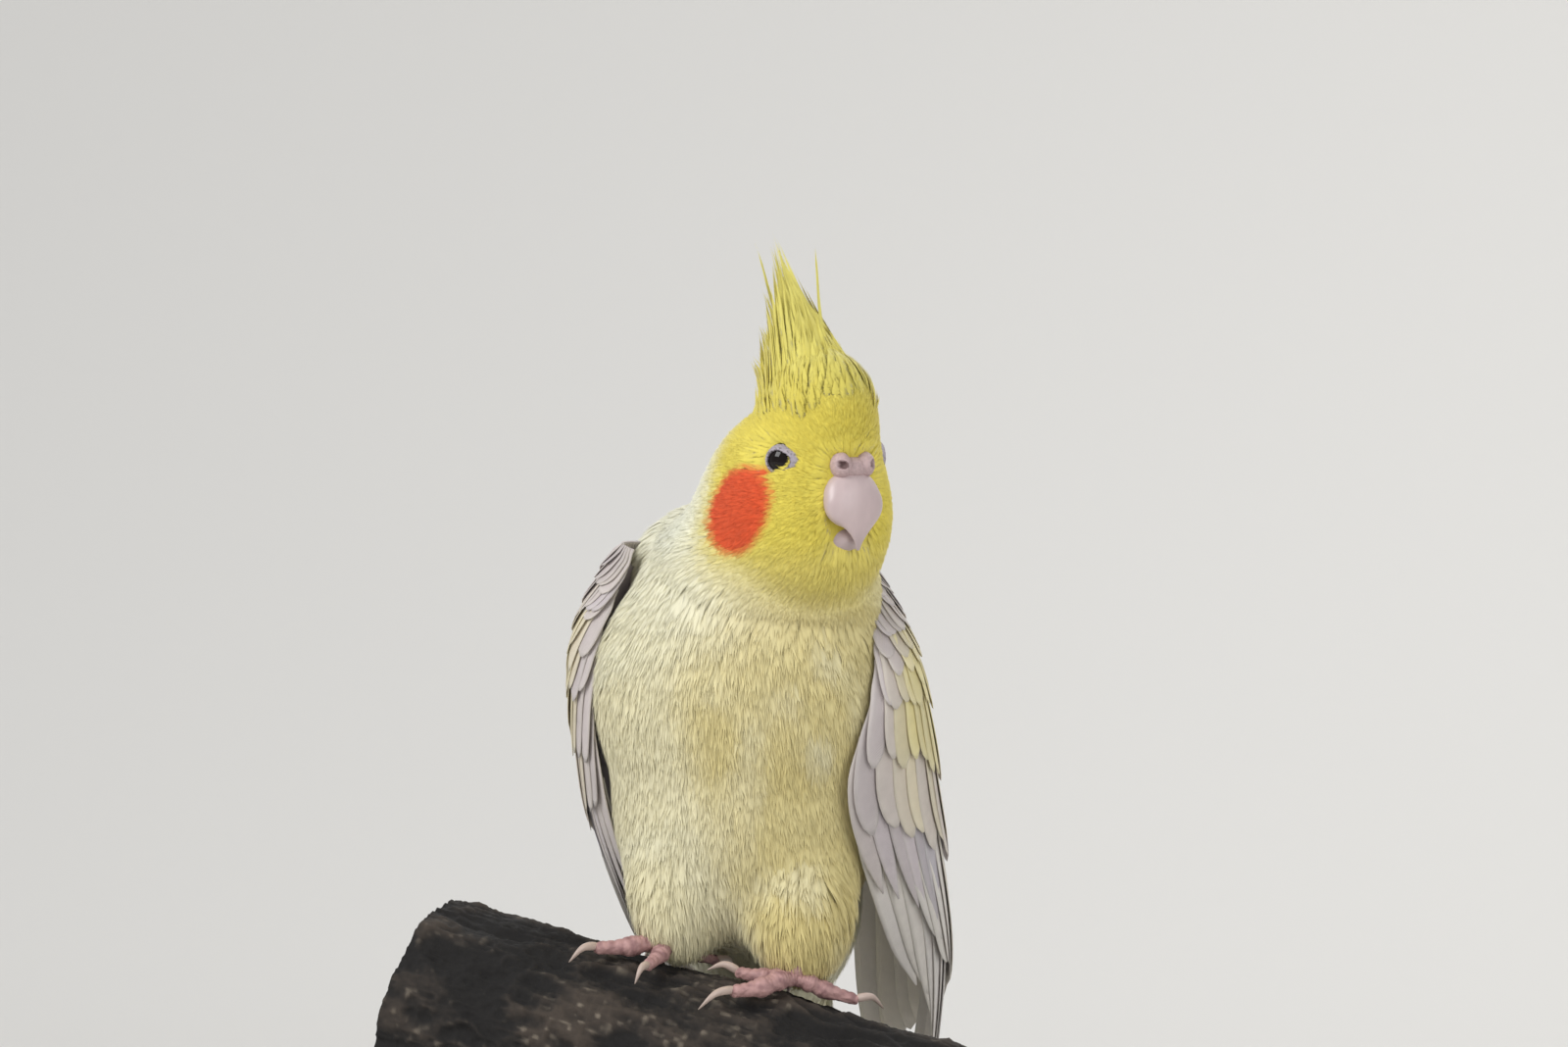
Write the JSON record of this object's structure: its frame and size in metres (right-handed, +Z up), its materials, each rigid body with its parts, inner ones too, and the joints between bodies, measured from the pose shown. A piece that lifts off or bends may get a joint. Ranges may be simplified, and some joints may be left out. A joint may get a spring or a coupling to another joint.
{
  "type": "bird model",
  "caption": "Life-size still museum model of a pale yellow cockatiel with a raised crest, gripping a short cut length of dark branch on a round display stand.",
  "frame": {"origin": "centre of the underside of the round display base", "axes": "+Z up, -Y the way the breast faces, +X the bird's left"},
  "size_m": [0.1367, 0.16, 0.3148],
  "materials": {
    "yellow_plumage": "dense soft yellow feathers",
    "cream_plumage": "soft cream and pale yellow feathers",
    "wing_plumage": "smooth pale grey-lavender vanes",
    "tail_plumage": "smooth pale cream vanes",
    "eye": "wet, glossy, near black brown",
    "bill": "satin pinkish grey horn",
    "cere": "soft bare pink-grey skin",
    "foot_skin": "dry pink scaly skin",
    "claw": "satin pale horn",
    "bark": "rough very dark bark",
    "stand_wood": "satin dark stained wood",
    "stand_rod": "satin brass"
  },
  "bodies": {
    "root": {"head": "yellow_plumage", "neck": "cream_plumage", "torso": "cream_plumage", "thigh_left": "cream_plumage", "thigh_right": "cream_plumage", "wing_left": "wing_plumage", "wing_right": "wing_plumage", "tail": "tail_plumage", "eye_left": "eye", "eye_right": "eye", "bill_upper": "bill", "bill_lower": "bill", "cere": "cere", "foot_left": "foot_skin", "foot_right": "foot_skin", "claw_left_inner_front": "claw", "claw_left_outer_front": "claw", "claw_left_inner_back": "claw", "claw_left_outer_back": "claw", "claw_right_inner_front": "claw", "claw_right_outer_front": "claw", "claw_right_inner_back": "claw", "claw_right_outer_back": "claw", "stand_perch_branch": "bark", "stand_rod": "stand_rod", "stand_base": "stand_wood"}
  },
  "joints": []
}
